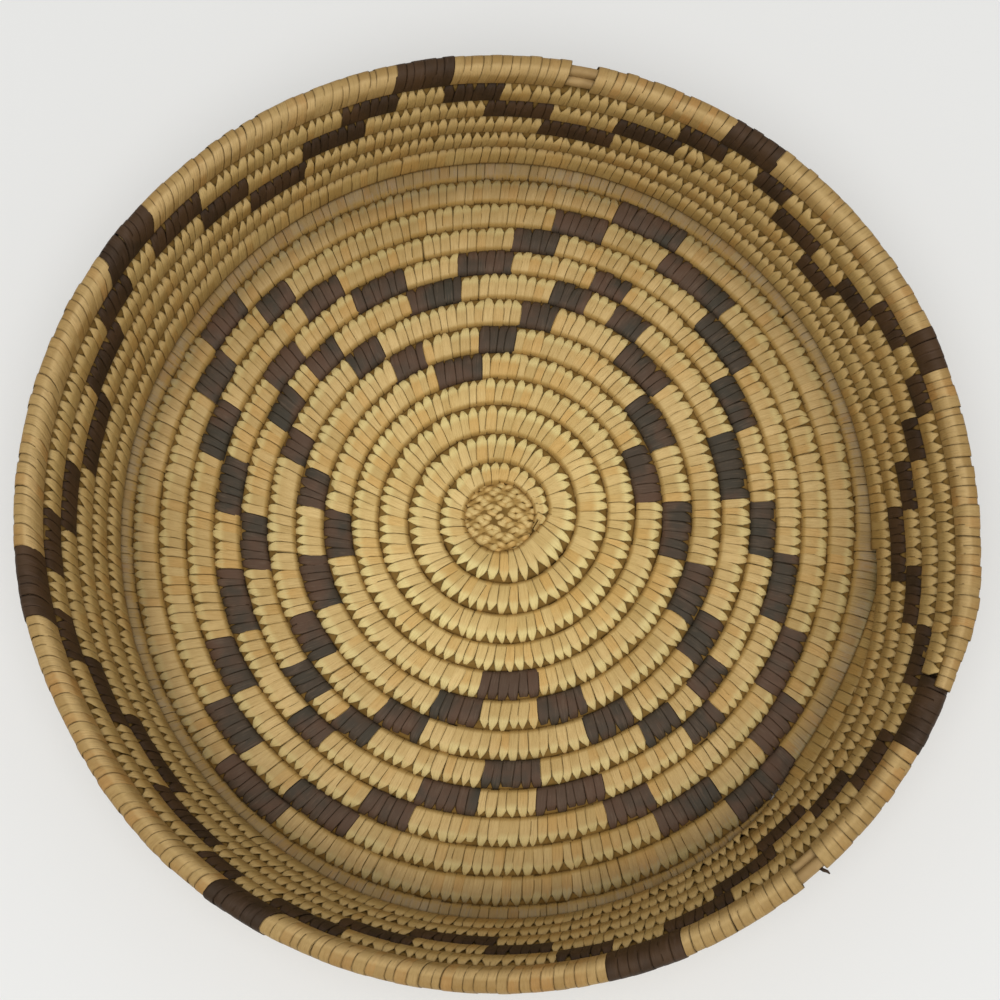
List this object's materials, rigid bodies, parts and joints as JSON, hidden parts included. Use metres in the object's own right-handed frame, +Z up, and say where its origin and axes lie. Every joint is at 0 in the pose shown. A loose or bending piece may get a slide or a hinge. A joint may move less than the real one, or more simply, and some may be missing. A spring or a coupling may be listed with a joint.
{
  "type": "coiled basket tray",
  "caption": "Shallow round coiled basket tray: flat spiral base, low flaring coiled wall and a sewn rim over a bundle of rods.",
  "frame": {"origin": "bottom centre of the whole, on the surface that the tray stands on", "axes": "+Z up out of the bowl; +X to the right and +Y to the top of the reference picture"},
  "size_m": [0.2156, 0.2134, 0.0504],
  "materials": {
    "light_splint": "satin",
    "dark_splint": "satin",
    "peeled_rod": "matte"
  },
  "bodies": {
    "root": {"start_knot": "light_splint", "base_coil": "light_splint", "wall_coil": "light_splint", "rim_rod_1": "peeled_rod", "rim_rod_2": "peeled_rod", "rim_rod_3": "peeled_rod", "rim_light_band_1": "light_splint", "rim_light_band_2": "light_splint", "rim_light_band_3": "light_splint", "rim_light_band_4": "light_splint", "rim_light_band_5": "light_splint", "rim_light_band_6": "light_splint", "rim_light_band_7": "light_splint", "rim_light_band_8": "light_splint", "rim_light_band_9": "light_splint", "rim_light_band_10": "light_splint", "rim_dark_band_1": "dark_splint", "rim_dark_band_2": "dark_splint", "rim_dark_band_3": "dark_splint", "rim_dark_band_4": "dark_splint", "rim_dark_band_5": "dark_splint", "rim_dark_band_6": "dark_splint", "rim_dark_band_7": "dark_splint", "rim_dark_band_8": "dark_splint"}
  },
  "joints": []
}
